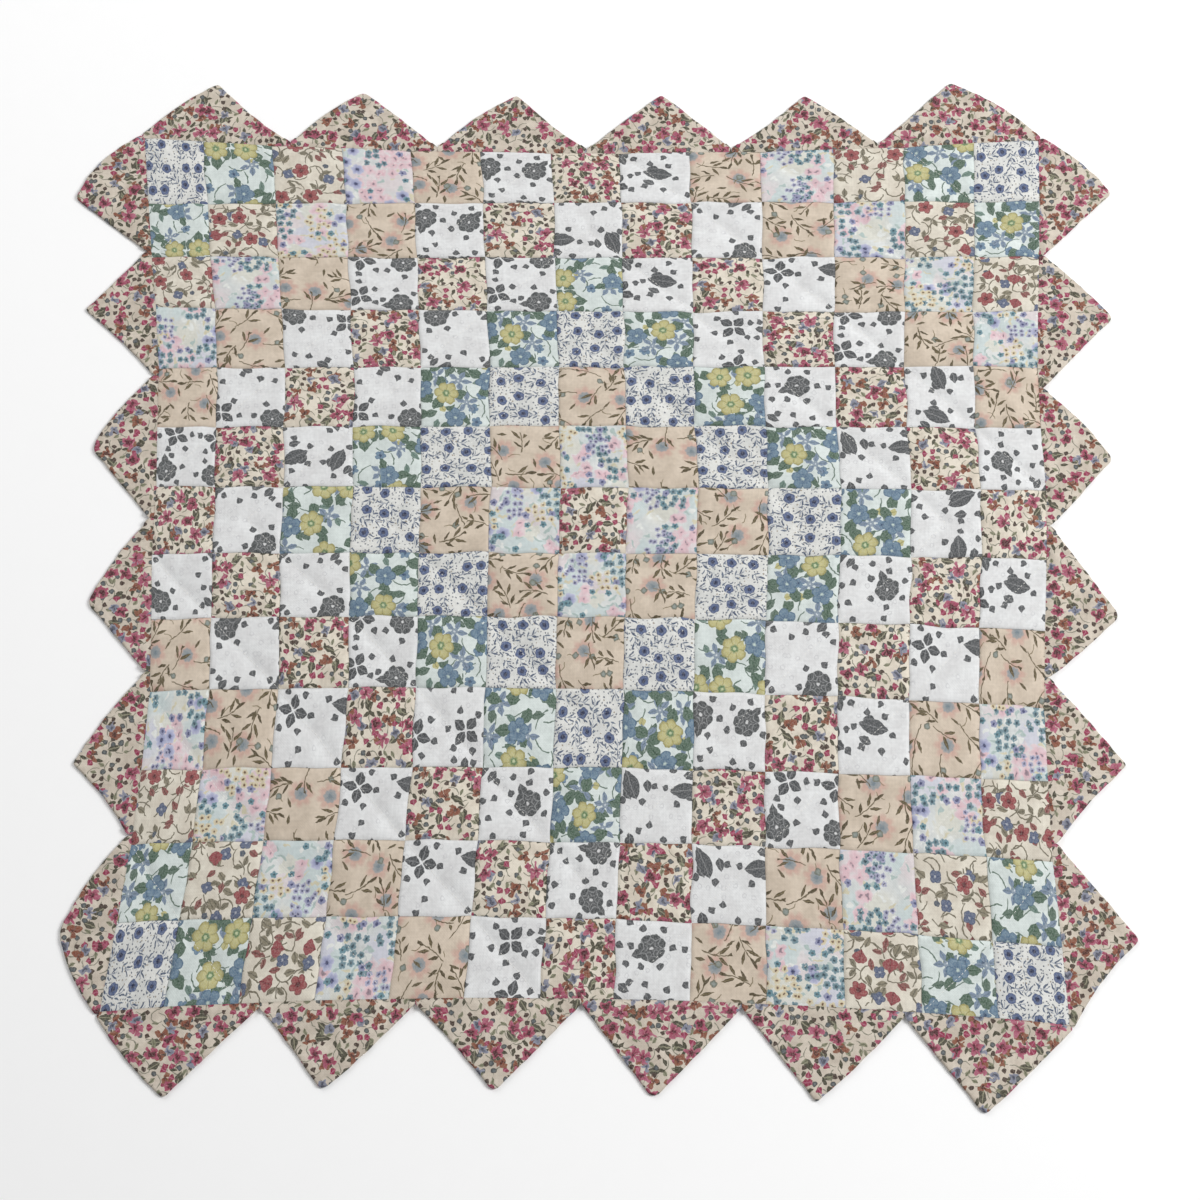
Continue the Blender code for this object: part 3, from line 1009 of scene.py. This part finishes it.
def print_pastel(p):
    """Flowers massed in patches of violet, teal, ochre, lilac and soft pink, over washes like them."""
    wash = p.scatter(19.0, jitter=1.0, shift=(41, 15), ragged=True)
    washes = {"d3c6c8": (0.0, 0.24), "c4c4d2": (0.24, 0.4), "d0cec1": (0.6, 0.76), "bccaca": (0.76, 1.0)}
    for colour, share in washes.items():
        p.flower(wash, 13.0, 5, 0.2, colour, share=share, blur=6.0, strength=0.75)
    strokes = p.scatter(6.4, shift=(5, 5), ragged=True)
    p.leaf(strokes, 7.0, 2.2, "c9c2a8", share=(0.0, 0.26))
    p.leaf(strokes, 6.4, 2.4, "a6b6b2", share=(0.26, 0.5))
    p.leaf(strokes, 6.0, 3.0, "dadcd8", share=(0.5, 0.66))
    pink = p.zone(p.scatter(8.2, jitter=0.7, shift=(17, 3), ragged=True), 18, 0.0, 0.34)
    p.flower(pink, 4.9, 5, 0.16, "d3b1b8", share=SHOWN, rim="d6c6c9", eye="8a7680", eye_share=0.2, blur=0.7)
    violet = p.zone(p.scatter(10.5, jitter=0.6, shift=(11, 19)), 18, 0.32, 0.5)
    p.flower(
        violet, 5.0, 6, 0.22, "8c90b2", share=SHOWN, rim="b9bbd0", eye="3a3e62", eye_share=0.3, blur=0.35,
    )
    teal = p.zone(p.scatter(6.2, jitter=0.6, shift=(8, 1)), 18, 0.5, 0.68)
    p.flower(teal, 2.7, 5, 0.34, "607a84", share=SHOWN, rim="779099", eye="2d4550", eye_share=0.34)
    ochre = p.zone(p.scatter(5.2, jitter=0.7, shift=(1, 8)), 18, 0.68, 0.8)
    p.flower(ochre, 2.4, 5, 0.25, "c5b695", share=SHOWN, rim="d0c7ae", eye="6b523c", eye_share=0.34, blur=0.3)
    lilac = p.zone(p.scatter(4.6, jitter=0.6, shift=(2, 19)), 18, 0.8, 0.94)
    p.flower(lilac, 2.0, 5, 0.3, "9191ac", share=SHOWN, rim="aaaabf", eye="50526e", eye_share=0.4)
    stray = p.scatter(9.0, shift=(33, 21))
    p.flower(stray, 2.8, 5, 0.3, "8789a6", share=(0.0, 0.16), eye="3c4068", eye_share=0.38)
    p.flower(stray, 2.5, 5, 0.3, "628590", share=(0.16, 0.32), eye="304e58", eye_share=0.38)


def print_peach(p):
    """Blue-grey flower heads in rosy rays, and long olive sprigs, on soft peach."""
    heads = p.scatter(28.0, jitter=0.6, shift=(11, 60))
    p.flower(heads, 9.0, 8, 0.34, "c0968c", blur=2.4, strength=0.65, share=(0.0, 0.9))
    p.flower(
        heads, 4.7, 9, 0.12, "828c92", share=(0.0, 0.9), rim="98999a", eye="727f87", eye_share=0.3, blur=0.6,
    )
    loose = p.scatter(12.5, shift=(4, 9))
    p.leaf(loose, 8.0, 2.1, "5b523c", share=(0.0, 0.3))
    p.stem(loose, 9.0, 1.6, 0.6, "766b50", share=(0.3, 0.72), middle=(4.0, 0.0))
    p.flower(loose, 2.5, 4, 0.2, "868f8b", share=(0.3, 0.52), rim="5d6050", blur=0.3)
    sprigs = p.scatter(21.0, jitter=0.7)
    p.stem(sprigs, 21.0, 1.6, 0.75, "5a5038", share=(0.0, 0.92))
    pair = p.mirrored(sprigs)
    p.leaf(pair, 9.6, 2.3, "4b422d", share=(0.0, 0.92), middle=(4.8, 3.9), turn=-38, rib="6a5f44")
    p.leaf(pair, 8.0, 2.1, "4b422d", share=(0.0, 0.5), middle=(-3.4, 3.5), turn=-42)
    p.leaf(sprigs, 9.0, 2.3, "4b422d", share=(0.0, 0.92), middle=(11.0, 1.2), turn=0)


def print_bluebell(p):
    """Round navy flower heads with sprays of slim leaves between them, and fine dots, on ivory."""
    dots = p.scatter(2.7, jitter=0.85)
    p.flower(dots, 0.55, 1, 0.0, "5f6470", share=(0.0, 0.66), blur=0.16)
    p.flower(dots, 0.5, 1, 0.0, "9a8f80", share=(0.62, 0.8), blur=0.16)
    sprays = p.scatter(9.6, jitter=0.7, turn=0.5, shift=(1, 7))
    p.stem(sprays, 7.0, 1.0, 0.5, "7d8698", share=(0.0, 0.85))
    pair = p.mirrored(sprays)
    p.leaf(pair, 6.2, 1.3, "48556c", share=(0.0, 0.92), middle=(1.2, 2.0), turn=-30)
    p.leaf(pair, 5.0, 1.2, "586579", share=(0.0, 0.8), middle=(-3.4, 1.9), turn=-48)
    heads = p.scatter(15.6, jitter=0.4, shift=(3, 3))
    p.flower(
        heads, 3.9, 5, 0.12, "526081", rim="56658a", line="354063", eye="202848", eye_share=0.4, clearing=0.6,
    )


def print_garden(p):
    """Yellow and blue flowers, slate sprays and big green leaves on thin stems, on the palest aqua."""
    stems = p.scatter(14.0, shift=(2, 2))
    p.stem(stems, 18.0, 4.0, 0.9, "56695c")
    leaves = p.scatter(11.6, jitter=0.85, shift=(6, 14))
    p.leaf(leaves, 11.0, 5.8, "57695c", share=(0.0, 0.36), rib="3f5646")
    p.leaf(leaves, 9.0, 4.4, "687e74", share=(0.36, 0.54), rib="52695f")
    p.flower(leaves, 4.2, 5, 0.34, "60788f", share=(0.54, 0.66), rim="6f879c", line="48627c", eye="394d68")
    p.leaf(leaves, 6.4, 5.0, "b5af7c", share=(0.66, 0.74), rib="8f8a54", lean=0.5)
    sprays = p.scatter(24.0, jitter=0.7, shift=(19, 5))
    spray = p.round(sprays, 5, 5.6)
    p.leaf(spray, 7.6, 4.0, "76859a", share=(0.0, 0.6), rib="60707f")
    p.flower(sprays, 2.8, 5, 0.3, "8693a0", share=(0.0, 0.6), line="647184", eye="c5ccd2", eye_share=0.25)
    heads = p.scatter(25.0, jitter=0.6, shift=(50, 8))
    around = p.round(heads, 3, 11.0)
    p.leaf(around, 13.0, 8.0, "4f6454", share=(0.0, 0.9), rib="384e3e", lean=0.1)
    p.flower(
        heads, 8.2, 5, 0.3, "597086", share=(0.32, 0.9), rim="748b9c", line="3f5974", eye="bccbc2",
        eye_share=0.13,
    )
    petals = p.flower(
        heads, 9.4, 6, 0.24, "bdb784", share=(0.0, 0.32), rim="b1aa73", line="8d8550", eye="5f7a50",
        eye_share=0.3,
    )
    heart = add(p.tree, "MapRange", (petals.outputs["Out"], 0.16, 0.08))
    p.ink("b9c29a", heart.outputs[0], heads, (0.0, 0.32))


def print_grey(p):
    """Charcoal roses and clustered leaves, each with a few loose drops round it, far apart on cool white."""
    faint = p.scatter(6.8, shift=(5, 1))
    marks = p.flower(faint, 1.7, 5, 0.2, "c0c0c2", share=(0.0, 0.42), strength=0.8)
    inside = add(p.tree, "MapRange", (marks.outputs["Out"], 0.76, 0.62))
    p.ink(p.ground, inside.outputs[0], faint, (0.0, 0.42))
    groups = p.scatter(39.0, jitter=0.4, shift=(20, 9))
    drops = p.kept_off(p.scatter(13.0, jitter=0.55), 20.0, 39.0, 0.4, (20, 9))
    p.leaf(drops, 5.6, 4.6, "4b4d4f", share=(0.0, 0.5), lean=0.75, rib="646567")
    ring = p.round(groups, 6, 14.2)
    p.leaf(ring, 5.8, 4.8, "4a4c4e", turn=25, lean=0.75, rib="646567")
    p.leaf(groups, 9.0, 5.6, "484a4b", share=(0.0, 0.45), middle=(9.4, 4.6), turn=-25, rib="6c6d6e")
    rose = p.flower(groups, 9.2, 7, 0.16, "4e5051", share=(0.0, 0.45), rim="434647", blur=0.3)
    folds = p.round(groups, 7, 5.0)
    p.stem(folds, 8.0, 3.0, 0.55, "8b8c8d", share=(0.0, 0.45), turn=90)
    p.stem(p.round(groups, 5, 2.6), 4.0, 1.6, 0.5, "8b8c8d", share=(0.0, 0.45), turn=90)
    heart = add(p.tree, "MapRange", (rose.outputs["Out"], 0.15, 0.1))
    p.ink("c9c9c9", heart.outputs[0], groups, (0.0, 0.45))
    four = p.round(groups, 4, 6.2)
    p.leaf(four, 10.4, 7.0, "434547", share=(0.45, 0.75), lean=0.2, rib="747577")
    p.leaf(groups, 22.0, 11.4, "4a4c4e", share=(0.75, 1.0), middle=(0.0, -3.0), rib="757677", lean=0.0)
    over = p.mirrored(groups)
    p.leaf(over, 9.4, 5.8, "484a4c", share=(0.75, 1.0), middle=(4.6, 7.4), turn=12, rib="757677")


def print_vine(p):
    """Curling taupe stems with paired leaves, and red and slate flowers, on cream."""
    curls = p.scatter(15.0, jitter=0.6, shift=(7, 3))
    curl = add(p.tree, "VectorMath", (curls.local,), operation="LENGTH").outputs["Value"]
    line = add(p.tree, "Math", (curl, 6.2, 0.5), operation="COMPARE")
    axes = add(p.tree, "SeparateXYZ", (curls.local,))
    open_side = add(p.tree, "MapRange", (axes.outputs["X"], -2.0, -1.5))
    p.ink("6f6959", add(p.tree, "Math", (line, open_side), operation="MULTIPLY"), curls, (0.0, 0.7))
    stems = p.scatter(13.0, jitter=0.8, shift=(2, 30))
    p.stem(stems, 16.0, 3.2, 0.9, "6a6455")
    pair = p.mirrored(stems)
    p.leaf(pair, 7.6, 3.8, "787262", share=(0.0, 0.5), middle=(1.0, 3.4), turn=-50, rib="5a5648")
    p.leaf(pair, 7.0, 3.4, "855a55", share=(0.7, 0.9), middle=(2.0, 3.2), turn=-50, rib="623b39")
    leaves = p.scatter(10.4, jitter=0.85, shift=(12, 4))
    p.leaf(leaves, 8.4, 4.4, "827b69", share=(0.0, 0.24), rib="5c584b")
    p.leaf(leaves, 7.8, 4.2, "865250", share=(0.24, 0.48), rib="5e3735")
    p.flower(leaves, 2.1, 5, 0.1, "4f5864", share=(0.52, 0.62))
    navy = p.scatter(22.0, jitter=0.6, shift=(31, 12))
    p.flower(
        navy, 4.4, 4, 0.3, "525d78", share=(0.0, 0.75), rim="616c84", line="3c4660", eye="a2a6b0",
        eye_share=0.2,
    )
    red = p.scatter(21.5, jitter=0.5, shift=(3, 44))
    p.flower(
        red, 6.2, 5, 0.34, "8a3f44", share=(0.0, 0.4), rim="9c5c5c", line="672b32", eye="55222a",
        eye_share=0.28, clearing=0.4,
    )
    p.leaf(red, 9.6, 9.4, "8c474c", share=(0.4, 0.62), rib="6c3036", lean=0.75)


WEAVE = 0.9                 # mm between threads. Real ones are 0.4 apart, too fine to show, so drawn coarser


def make_weave():
    """The over and under of a plain weave, with threads that run a little thick and thin."""
    gives = {"Height": FLOAT, "Slub": FLOAT}
    group, given, result = new_shape("plain weave", {"Place": (0.0, 0.0, 0.0)}, gives)
    axes = add(group, "SeparateXYZ", (given["Place"],))
    across = add(group, "Math", (axes.outputs["X"], math.pi / WEAVE), operation="MULTIPLY")
    down = add(group, "Math", (axes.outputs["Y"], math.pi / WEAVE), operation="MULTIPLY")
    warp = add(group, "Math", (across,), operation="SINE")
    weft = add(group, "Math", (down,), operation="SINE")
    cross = add(group, "Math", (warp, weft), operation="MULTIPLY")
    height = add(group, "Math", (cross, 0.5, 0.5), operation="MULTIPLY_ADD")
    sides = []
    for stretch in ((0.06, 1.1, 1.0), (1.1, 0.06, 1.0)):
        thread = add(group, "VectorMath", (given["Place"], stretch), operation="MULTIPLY")
        made = add(group, "TexNoise", {"Vector": thread, "Scale": 1.0, "Detail": 1.0}, noise_dimensions="2D")
        sides.append(made.outputs[0])
    both = add(group, "Math", (sides[0], sides[1]), operation="ADD")
    slub = add(group, "Math", (both, 0.5), operation="MULTIPLY")
    group.links.new(height.outputs[0], result["Height"])
    group.links.new(slub.outputs[0], result["Slub"])
    return group


WEAVE_GROUP = make_weave()
SEAM_SHADE = 0.9            # painted shade: how much colour is left right at a seam or a point's turned edge
SEAM_SHADE_WIDTH = 1.3
SMALL = 0.42                # how closely a print's edges waver: about every 2.4 mm
LARGE = 0.24                # and the edges of its ragged motifs, every 4 mm
WAVER = 1.0
RAGGEDNESS = 5.0
COTTON_IOR = 1.47


def new_material(name):
    """An empty material, with its node tree and its shader."""
    material = bpy.data.materials.new(name)
    material.use_nodes = True
    return material, material.node_tree, material.node_tree.nodes["Principled BSDF"]


def wavering(tree, place, stirred, reach):
    """The place moved a little by a noise, so that what is printed there has hand-drawn edges."""
    centred = add(tree, "VectorMath", (stirred.outputs["Color"], (0.5, 0.5, 0.5)), operation="SUBTRACT")
    stray = add(tree, "VectorMath", (centred, (reach, reach, 0.0)), operation="MULTIPLY")
    return add(tree, "VectorMath", (place, stray), operation="ADD")


def cotton(name, ground, other_ground, draw=None):
    """Plain-weave quilting cotton: matt and finely woven, its inks sunk in, with a faint dusty sheen."""
    material, tree, shader = new_material(name)
    cloth_map = add(tree, "UVMap", uv_map="cloth")
    edge_map = add(tree, "UVMap", uv_map="edge")
    flat = {"noise_dimensions": "2D"}
    small = add(tree, "TexNoise", {"Vector": cloth_map, "Scale": SMALL, "Detail": 0.0}, **flat)
    drawn = wavering(tree, cloth_map, small, WAVER)
    large = add(tree, "TexNoise", {"Vector": cloth_map, "Scale": LARGE, "Detail": 0.5}, **flat)
    ragged = wavering(tree, drawn, large, RAGGEDNESS)

    cloud = add(tree, "TexNoise", {"Vector": cloth_map, "Scale": 0.07, "Detail": 3.0}, **flat)
    fade = add(tree, "MapRange", (cloud, 0.35, 0.65))
    base = add(tree, "Mix", {0: fade, 6: linear(ground), 7: linear(other_ground)}, data_type="RGBA")
    printing = Printing(tree, drawn.outputs[0], ragged.outputs[0], base.outputs[2])
    if draw:
        draw(printing)
        fine = add(tree, "TexNoise", {"Vector": cloth_map, "Scale": 0.9, "Detail": 1.0}, **flat)
        thin = add(tree, "MapRange", (fine, 0.35, 0.7, 0.0, 0.16))
        printing.ink(printing.ground, thin.outputs[0])      # the ink lies thinner on some threads

    weave = add(tree, "Group", {"Place": cloth_map}, node_tree=WEAVE_GROUP)
    thread = add(tree, "MapRange", (weave.outputs["Slub"], 0.3, 0.7, 0.95, 1.045))
    # Painted shade: the weave's hollows are a little darker and its raised crossings a little lighter.
    over = add(tree, "MapRange", (weave.outputs["Height"], 0.0, 1.0, 0.965, 1.03))
    tone = add(tree, "Math", (thread, over), operation="MULTIPLY")
    nap = add(tree, "SeparateColor", (small.outputs["Color"],))         # the nap lies this way and that
    brushed = add(tree, "MapRange", (nap.outputs["Blue"], 0.3, 0.7, 0.965, 1.03))
    tone = add(tree, "Math", (tone, brushed), operation="MULTIPLY")
    # Painted shade: the colour darkens towards SEAM_SHADE within SEAM_SHADE_WIDTH mm of a seam or a point's
    # turned edge, where the ditch lies in shade.
    distances = add(tree, "SeparateXYZ", (edge_map,))
    shade = (distances.outputs["X"], 0.0, SEAM_SHADE_WIDTH, SEAM_SHADE, 1.0)
    seam = add(tree, "MapRange", shade, interpolation_type="SMOOTHSTEP")
    tone = add(tree, "Math", (tone, seam), operation="MULTIPLY")
    shaded = add(tree, "VectorMath", {0: printing.cloth, "Scale": tone}, operation="SCALE")
    tree.links.new(shaded.outputs[0], shader.inputs["Base Color"])

    rough = add(tree, "MapRange", (weave.outputs["Slub"], 0.3, 0.7, 0.84, 0.94))
    tree.links.new(rough.outputs[0], shader.inputs["Roughness"])
    threads = (weave.outputs["Slub"], 1.2, weave.outputs["Height"])
    relief = add(tree, "Math", threads, operation="MULTIPLY_ADD")
    bump = add(tree, "Bump", {"Strength": 0.5, "Distance": 0.08 * MM, "Height": relief})
    tree.links.new(bump.outputs[0], shader.inputs["Normal"])
    shader.inputs["IOR"].default_value = COTTON_IOR
    shader.inputs["Specular IOR Level"].default_value = 0.3
    shader.inputs["Sheen Weight"].default_value = 0.08
    shader.inputs["Sheen Roughness"].default_value = 0.5
    return material


TWIST = 900.0               # scale that gives the thread a turn about every 0.7 mm


def spun_thread(name, colour):
    """Spun cotton thread: matt and slightly hairy, twisted so that fine slanting shadows cross it, painted
    into its colour as darker bands and shaded by its bump.
    """
    material, tree, shader = new_material(name)
    place = add(tree, "TexCoord").outputs["Object"]
    sockets = {"Vector": place, "Scale": TWIST, "Distortion": 1.5}
    twist = add(tree, "TexWave", sockets, bands_direction="DIAGONAL")
    # Painted shade: darker slanting bands along the twist.
    tone = add(tree, "MapRange", (twist.outputs["Fac"], 0.0, 1.0, 0.9, 1.0))
    shade = add(tree, "VectorMath", {0: linear(colour)[:3], "Scale": tone}, operation="SCALE")
    tree.links.new(shade.outputs[0], shader.inputs["Base Color"])
    bump = add(tree, "Bump", {"Strength": 0.4, "Distance": 0.05 * MM, "Height": twist.outputs["Fac"]})
    tree.links.new(bump.outputs[0], shader.inputs["Normal"])
    shader.inputs["Roughness"].default_value = 0.8
    shader.inputs["IOR"].default_value = COTTON_IOR
    return material


# Ground colours first, then the shade that they drift to, then what is printed on them.
COTTONS = {
    "berry": ("dcd4c5", "ccc2b3", print_berry),
    "pastel": ("d2d4d2", "c5c9c8", print_pastel),
    "peach": ("d0c2b1", "c3b5a4", print_peach),
    "bluebell": ("dadad6", "cdcecb", print_bluebell),
    "garden": ("d4dcd9", "c7cfcc", print_garden),
    "grey": ("dddede", "d4d4d4", print_grey),
    "vine": ("dad4c6", "cbc3b5", print_vine),
}


# ---- putting the quilt together ------------------------------------------

materials = {
    name: cotton(f"printed cotton, {name}", ground, other, draw)
    for name, (ground, other, draw) in COTTONS.items()
}
# The border's points have the berry print on a darker ground than the panel's berry squares.
edge_cotton = cotton("printed cotton, berry, darker ground for the border", "cfc5b7", "beb3a5", print_berry)
back_cotton = cotton("plain cream cotton", "e4ddcb", "ddd5c2")
white_thread = spun_thread("spun cotton thread", "eceae4")

rng = random.Random(13)
on_the_sheet = [add_squares(name, materials[name], rng) for name in COTTONS]
rim = find_rim()
point_nodes = [f"{side}_point_{n}" for side in ("top", "right", "bottom", "left") for n in range(1, 7)]
for node in point_nodes:
    on_the_sheet.append(add_point(node, rim, edge_cotton, rng))
on_the_sheet.append(add_stitches(white_thread))
backing = add_backing(back_cotton)


# ---- floor, light and camera ---------------------------------------------

FLOOR_HALF = 6.0
FLOOR_TOP = -0.0002         # a little under the quilt, so that the two faces don't meet
ROOM_LIGHT = 0.38


def pale_floor():
    """A plain pale studio floor: rolled matt paint, which spreads the light and shows no shine."""
    material, tree, shader = new_material("matt white paint")
    place = add(tree, "TexCoord").outputs["Object"]
    grain = add(tree, "TexNoise", {"Vector": place, "Scale": 60.0})
    tone = add(tree, "MapRange", (grain, 0.0, 1.0, 0.985, 1.0))
    shade = add(tree, "VectorMath", {0: linear("fbfbfb")[:3], "Scale": tone}, operation="SCALE")
    tree.links.new(shade.outputs[0], shader.inputs["Base Color"])
    shader.inputs["Roughness"].default_value = 0.9
    mesh = bpy.data.meshes.new("floor")
    signs = ((-1, -1), (1, -1), (1, 1), (-1, 1))
    mesh.from_pydata([(x * FLOOR_HALF, y * FLOOR_HALF, FLOOR_TOP) for x, y in signs], [], [(0, 1, 2, 3)])
    mesh.materials.append(material)
    floor = bpy.data.objects.new("floor", mesh)
    bpy.context.scene.collection.objects.link(floor)


def add_light(name, place, size, power):
    """A soft square lamp that faces the quilt."""
    lamp = bpy.data.lights.new(name, "AREA")
    lamp.shape = "SQUARE"
    lamp.size = size
    lamp.energy = power
    light = bpy.data.objects.new(name, lamp)
    light.location = place
    light.rotation_mode = "QUATERNION"
    light.rotation_quaternion = (-Vector(place)).to_track_quat("-Z", "Y")
    bpy.context.scene.collection.objects.link(light)


pale_floor()
add_light("key lamp", (2.3, 0.5, 2.0), 1.3, 78.0)
add_light("fill lamp", (-1.2, 1.8, 1.5), 1.5, 21.0)

world = bpy.data.worlds.new("soft studio")
world.use_nodes = True
world.node_tree.nodes["Background"].inputs["Color"].default_value = linear("ffffff")
world.node_tree.nodes["Background"].inputs["Strength"].default_value = ROOM_LIGHT
bpy.context.scene.world = world
bpy.context.scene.view_settings.view_transform = "Standard"

# The camera stands beyond the quilt's near edge and looks down on it.
LEAN = math.radians(21.7)   # off straight down
DISTANCE = 1.9
AIM = Vector((-0.00154, 0.01899, 0.0))
IMAGE = 1200                # pixels along each side of a render
FOCAL_PX = 2626.4
OPTICAL_CENTRE_PX = (591.5, 534.6)
SENSOR = 36.0

camera_data = bpy.data.cameras.new("camera")
camera_data.sensor_width = SENSOR
camera_data.lens = FOCAL_PX / IMAGE * SENSOR
camera_data.shift_x = (IMAGE / 2 - OPTICAL_CENTRE_PX[0]) / IMAGE
camera_data.shift_y = (OPTICAL_CENTRE_PX[1] - IMAGE / 2) / IMAGE
camera_data.clip_start = 0.05
camera_data.clip_end = 50.0
camera = bpy.data.objects.new("camera", camera_data)
camera.location = AIM + DISTANCE * Vector((0.0, -math.sin(LEAN), math.cos(LEAN)))
camera.rotation_euler = (LEAN, 0.0, 0.0)
bpy.context.scene.collection.objects.link(camera)
bpy.context.scene.camera = camera

bpy.context.view_layer.update()
